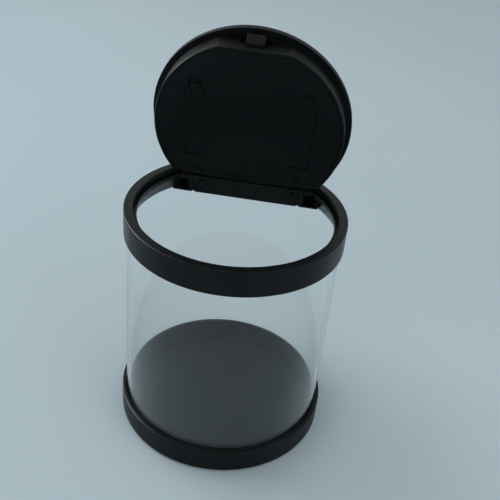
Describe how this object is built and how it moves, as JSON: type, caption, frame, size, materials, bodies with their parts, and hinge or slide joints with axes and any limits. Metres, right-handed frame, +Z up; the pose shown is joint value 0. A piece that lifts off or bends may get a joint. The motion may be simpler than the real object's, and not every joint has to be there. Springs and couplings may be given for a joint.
{
  "type": "timed lock container",
  "caption": "Clear round container with a black base cup and collar, and a hinged lid whose motor latch is held by a timer.",
  "frame": {"origin": "centre of the underside, on the plane the rubber feet stand on", "axes": "+Z up, hinge of the lid at +Y, latch at -Y, +X to the right seen from the front"},
  "size_m": [0.148, 0.148, 0.2781],
  "materials": {
    "clear_plastic": "clear, polished",
    "black_plastic": "satin moulded",
    "lid_plastic": "satin moulded",
    "rubber_foot": "matte",
    "steel": "bright zinc plate",
    "screw_steel": "black zinc plate",
    "lens_plastic": "smoked, polished",
    "display": "liquid crystal",
    "board": "solder mask",
    "dark_plastic": "fine grain",
    "latch_plastic": "fine grain, grey",
    "gear_plastic": "natural acetal",
    "motor_metal": "drawn can",
    "cell_wrap": "gloss sleeve"
  },
  "bodies": {
    "body": {"tube": "clear_plastic", "base_cup": "black_plastic", "base_feet": "rubber_foot", "collar": "black_plastic", "hinge_pins": "steel"},
    "lid": {"lid_cover": "lid_plastic", "lid_inner_cover": "lid_plastic", "lid_screws": "screw_steel", "display_lens": "lens_plastic", "display_module": "display", "circuit_board": "board", "board_screws": "steel", "button_switches": "dark_plastic", "buzzer": "dark_plastic", "gear_motor": "motor_metal", "latch_spring": "steel", "battery_left": "cell_wrap", "battery_right": "cell_wrap", "battery_contacts": "steel", "battery_springs": "steel"},
    "latch": {"latch_slide": "latch_plastic"},
    "pinion": {"motor_shaft": "steel", "drive_pinion": "gear_plastic"},
    "up_key": {"button_up": "dark_plastic"},
    "down_key": {"button_down": "dark_plastic"},
    "lock_key": {"button_lock": "dark_plastic"},
    "left_door": {"battery_door_left": "lid_plastic"},
    "right_door": {"battery_door_right": "lid_plastic"}
  },
  "joints": [
    {"name": "lid_hinge", "type": "hinge", "parent": "body", "child": "lid", "pos_m": [0, 0.0479, 0.165], "axis": [1, 0, 0], "range_deg": [-8, 81]},
    {"name": "latch_travel", "type": "slide", "parent": "lid", "child": "latch", "axis": [0, -0.1564, 0.9877], "range_m": [0, 0.0025]},
    {"name": "pinion_turn", "type": "hinge", "parent": "lid", "child": "pinion", "pos_m": [0, 0.02542, 0.25803], "axis": [1, 0, 0], "range_deg": [-3, 52]},
    {"name": "up_press", "type": "slide", "parent": "lid", "child": "up_key", "axis": [0, -0.9877, -0.1564], "range_m": [0, 0.0006], "stiffness_N_per_m": 800, "springref_m": -0.0003},
    {"name": "down_press", "type": "slide", "parent": "lid", "child": "down_key", "axis": [0, -0.9877, -0.1564], "range_m": [0, 0.0006], "stiffness_N_per_m": 800, "springref_m": -0.0003},
    {"name": "lock_press", "type": "slide", "parent": "lid", "child": "lock_key", "axis": [0, -0.9877, -0.1564], "range_m": [0, 0.0006], "stiffness_N_per_m": 800, "springref_m": -0.0003},
    {"name": "left_door_hinge", "type": "hinge", "parent": "lid", "child": "left_door", "pos_m": [-0.0357, 0.02998, 0.1893], "axis": [1, 0, 0], "range_deg": [0, 95]},
    {"name": "right_door_hinge", "type": "hinge", "parent": "lid", "child": "right_door", "pos_m": [0.0357, 0.02998, 0.1893], "axis": [1, 0, 0], "range_deg": [0, 95]}
  ],
  "couplings": [
    {"joint": "pinion_turn", "follows": "latch_travel", "rad_per_m": 333.33}
  ]
}
